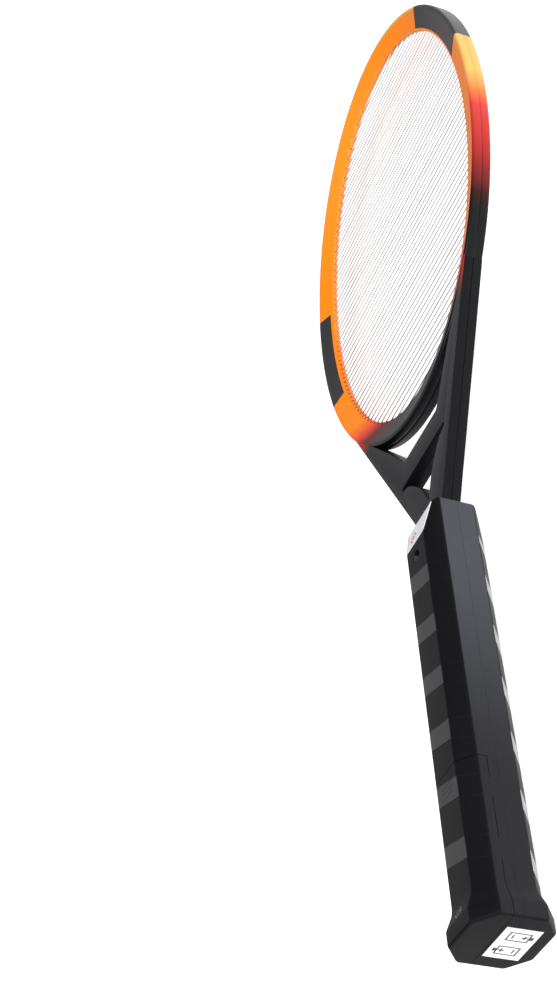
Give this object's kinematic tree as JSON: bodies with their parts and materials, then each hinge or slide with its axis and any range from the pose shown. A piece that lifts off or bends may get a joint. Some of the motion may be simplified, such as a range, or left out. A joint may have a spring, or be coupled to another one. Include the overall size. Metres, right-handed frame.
{
  "type": "electric fly swatter",
  "caption": "Racket-shaped electric fly swatter: an oval hoop of bare parallel wires on a forked throat and an eight-sided battery grip with a slide-off door and a push button.",
  "frame": {"origin": "middle of the flat butt end, on the plane where the two grip casings part", "axes": "+Y from the butt end to the tip, +X across the hoop, +Z out of the back face, the one with the battery door"},
  "size_m": [0.206, 0.603, 0.038],
  "materials": {
    "shell_fade": "orange sprayed plastic that fades to satin black at the throat",
    "carrier_plastic": "orange plastic, darker at the throat",
    "grid_wire": "bare drawn wire",
    "busbar_metal": "dull copper-coloured strip",
    "lead_red": "insulated wire",
    "lead_black": "insulated wire",
    "badge_black": "printed patch, satin",
    "grip_plastic": "satin black plastic with a printed slanted wrap",
    "cell_wrap": "printed sleeve",
    "contact_nickel": "nickel-plated spring steel",
    "board_green": "printed board",
    "ferrite": "sintered, matt",
    "winding_tape": "yellow tape over copper wire",
    "capacitor_resin": "dipped resin",
    "diode_black": "moulded body with tinned leads",
    "resistor_tan": "coated body with tinned leads",
    "moulded_black": "moulded, slightly glossy",
    "button_black": "satin",
    "lamp_red": "tinted lamp body",
    "screw_steel": "zinc plated",
    "label_paper": "coated white paper"
  },
  "bodies": {
    "racket": {"frame_rear_shell": "shell_fade", "frame_front_shell": "shell_fade", "wire_carrier": "carrier_plastic", "live_wires": "grid_wire", "ground_wires": "grid_wire", "live_busbar": "busbar_metal", "ground_busbar": "busbar_metal", "live_lead": "lead_red", "ground_lead": "lead_black", "rim_badges": "badge_black", "grip_rear_shell": "grip_plastic", "grip_front_shell": "grip_plastic", "cell_left": "cell_wrap", "cell_right": "cell_wrap", "battery_link": "contact_nickel", "link_spring": "contact_nickel", "positive_contact": "contact_nickel", "negative_contact": "contact_nickel", "negative_spring": "contact_nickel", "battery_leads": "lead_red", "circuit_board": "board_green", "transformer_core": "ferrite", "transformer_winding": "winding_tape", "hv_capacitor": "capacitor_resin", "rectifier_diodes": "diode_black", "resistors": "resistor_tan", "switching_transistor": "moulded_black", "push_switch": "moulded_black", "button_spring": "contact_nickel", "indicator_led": "lamp_red", "board_screws": "screw_steel", "grip_screws": "screw_steel", "ramp_label": "label_paper", "butt_label": "label_paper"},
    "door": {"battery_door": "grip_plastic"},
    "button": {"push_button": "button_black"}
  },
  "joints": [
    {"name": "door_slide", "type": "slide", "parent": "racket", "child": "door", "axis": [0, -1, 0], "range_m": [0, 0.076]},
    {"name": "button_press", "type": "slide", "parent": "racket", "child": "button", "axis": [0, 0, 1], "range_m": [0, 0.0012], "stiffness_N_per_m": 400, "springref_m": -0.002, "deforming": ["button_spring"]}
  ]
}
